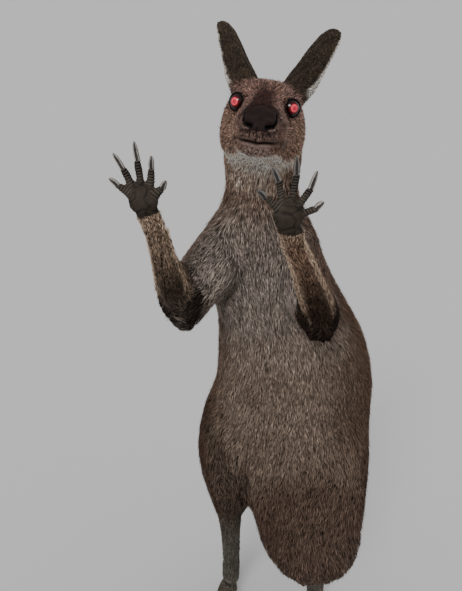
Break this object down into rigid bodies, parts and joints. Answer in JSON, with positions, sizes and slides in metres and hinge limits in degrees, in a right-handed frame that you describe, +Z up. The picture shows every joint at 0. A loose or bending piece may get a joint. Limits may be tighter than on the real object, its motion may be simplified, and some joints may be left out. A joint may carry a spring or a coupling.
{
  "type": "western grey kangaroo",
  "caption": "Life-size female western grey kangaroo, standing upright on hind feet and tail with both hands raised in front of the chest, palms forward.",
  "frame": {"origin": "middle of the bounding box, on the floor under the animal", "axes": "+Z up, the animal faces -Y, its own left side is towards +X"},
  "size_m": [0.5546, 1.0718, 1.1977],
  "materials": {
    "coat": "short dense grey-brown fur",
    "ears": "dark short fur on the backs, pale fringe on the edges",
    "eyes": "wet dark brown",
    "claws": "dark horn, slightly polished"
  },
  "bodies": {
    "root": {"claw_foot_left_fifth": "claws", "claw_foot_left_fourth": "claws", "claw_foot_left_second": "claws", "claw_foot_left_third": "claws", "claw_foot_right_fifth": "claws", "claw_foot_right_fourth": "claws", "claw_foot_right_second": "claws", "claw_foot_right_third": "claws", "claw_hand_left_five": "claws", "claw_hand_left_four": "claws", "claw_hand_left_one": "claws", "claw_hand_left_three": "claws", "claw_hand_left_two": "claws", "claw_hand_right_five": "claws", "claw_hand_right_four": "claws", "claw_hand_right_one": "claws", "claw_hand_right_three": "claws", "claw_hand_right_two": "claws", "ear_left": "ears", "ear_right": "ears", "eye_left": "eyes", "eye_right": "eyes", "foot_left": "coat", "foot_right": "coat", "forearm_left": "coat", "forearm_right": "coat", "hand_left": "coat", "hand_right": "coat", "head": "coat", "neck": "coat", "shank_left": "coat", "shank_right": "coat", "tail_middle": "coat", "tail_root": "coat", "tail_tip": "coat", "thigh_left": "coat", "thigh_right": "coat", "trunk": "coat", "upper_arm_left": "coat", "upper_arm_right": "coat"}
  },
  "joints": []
}
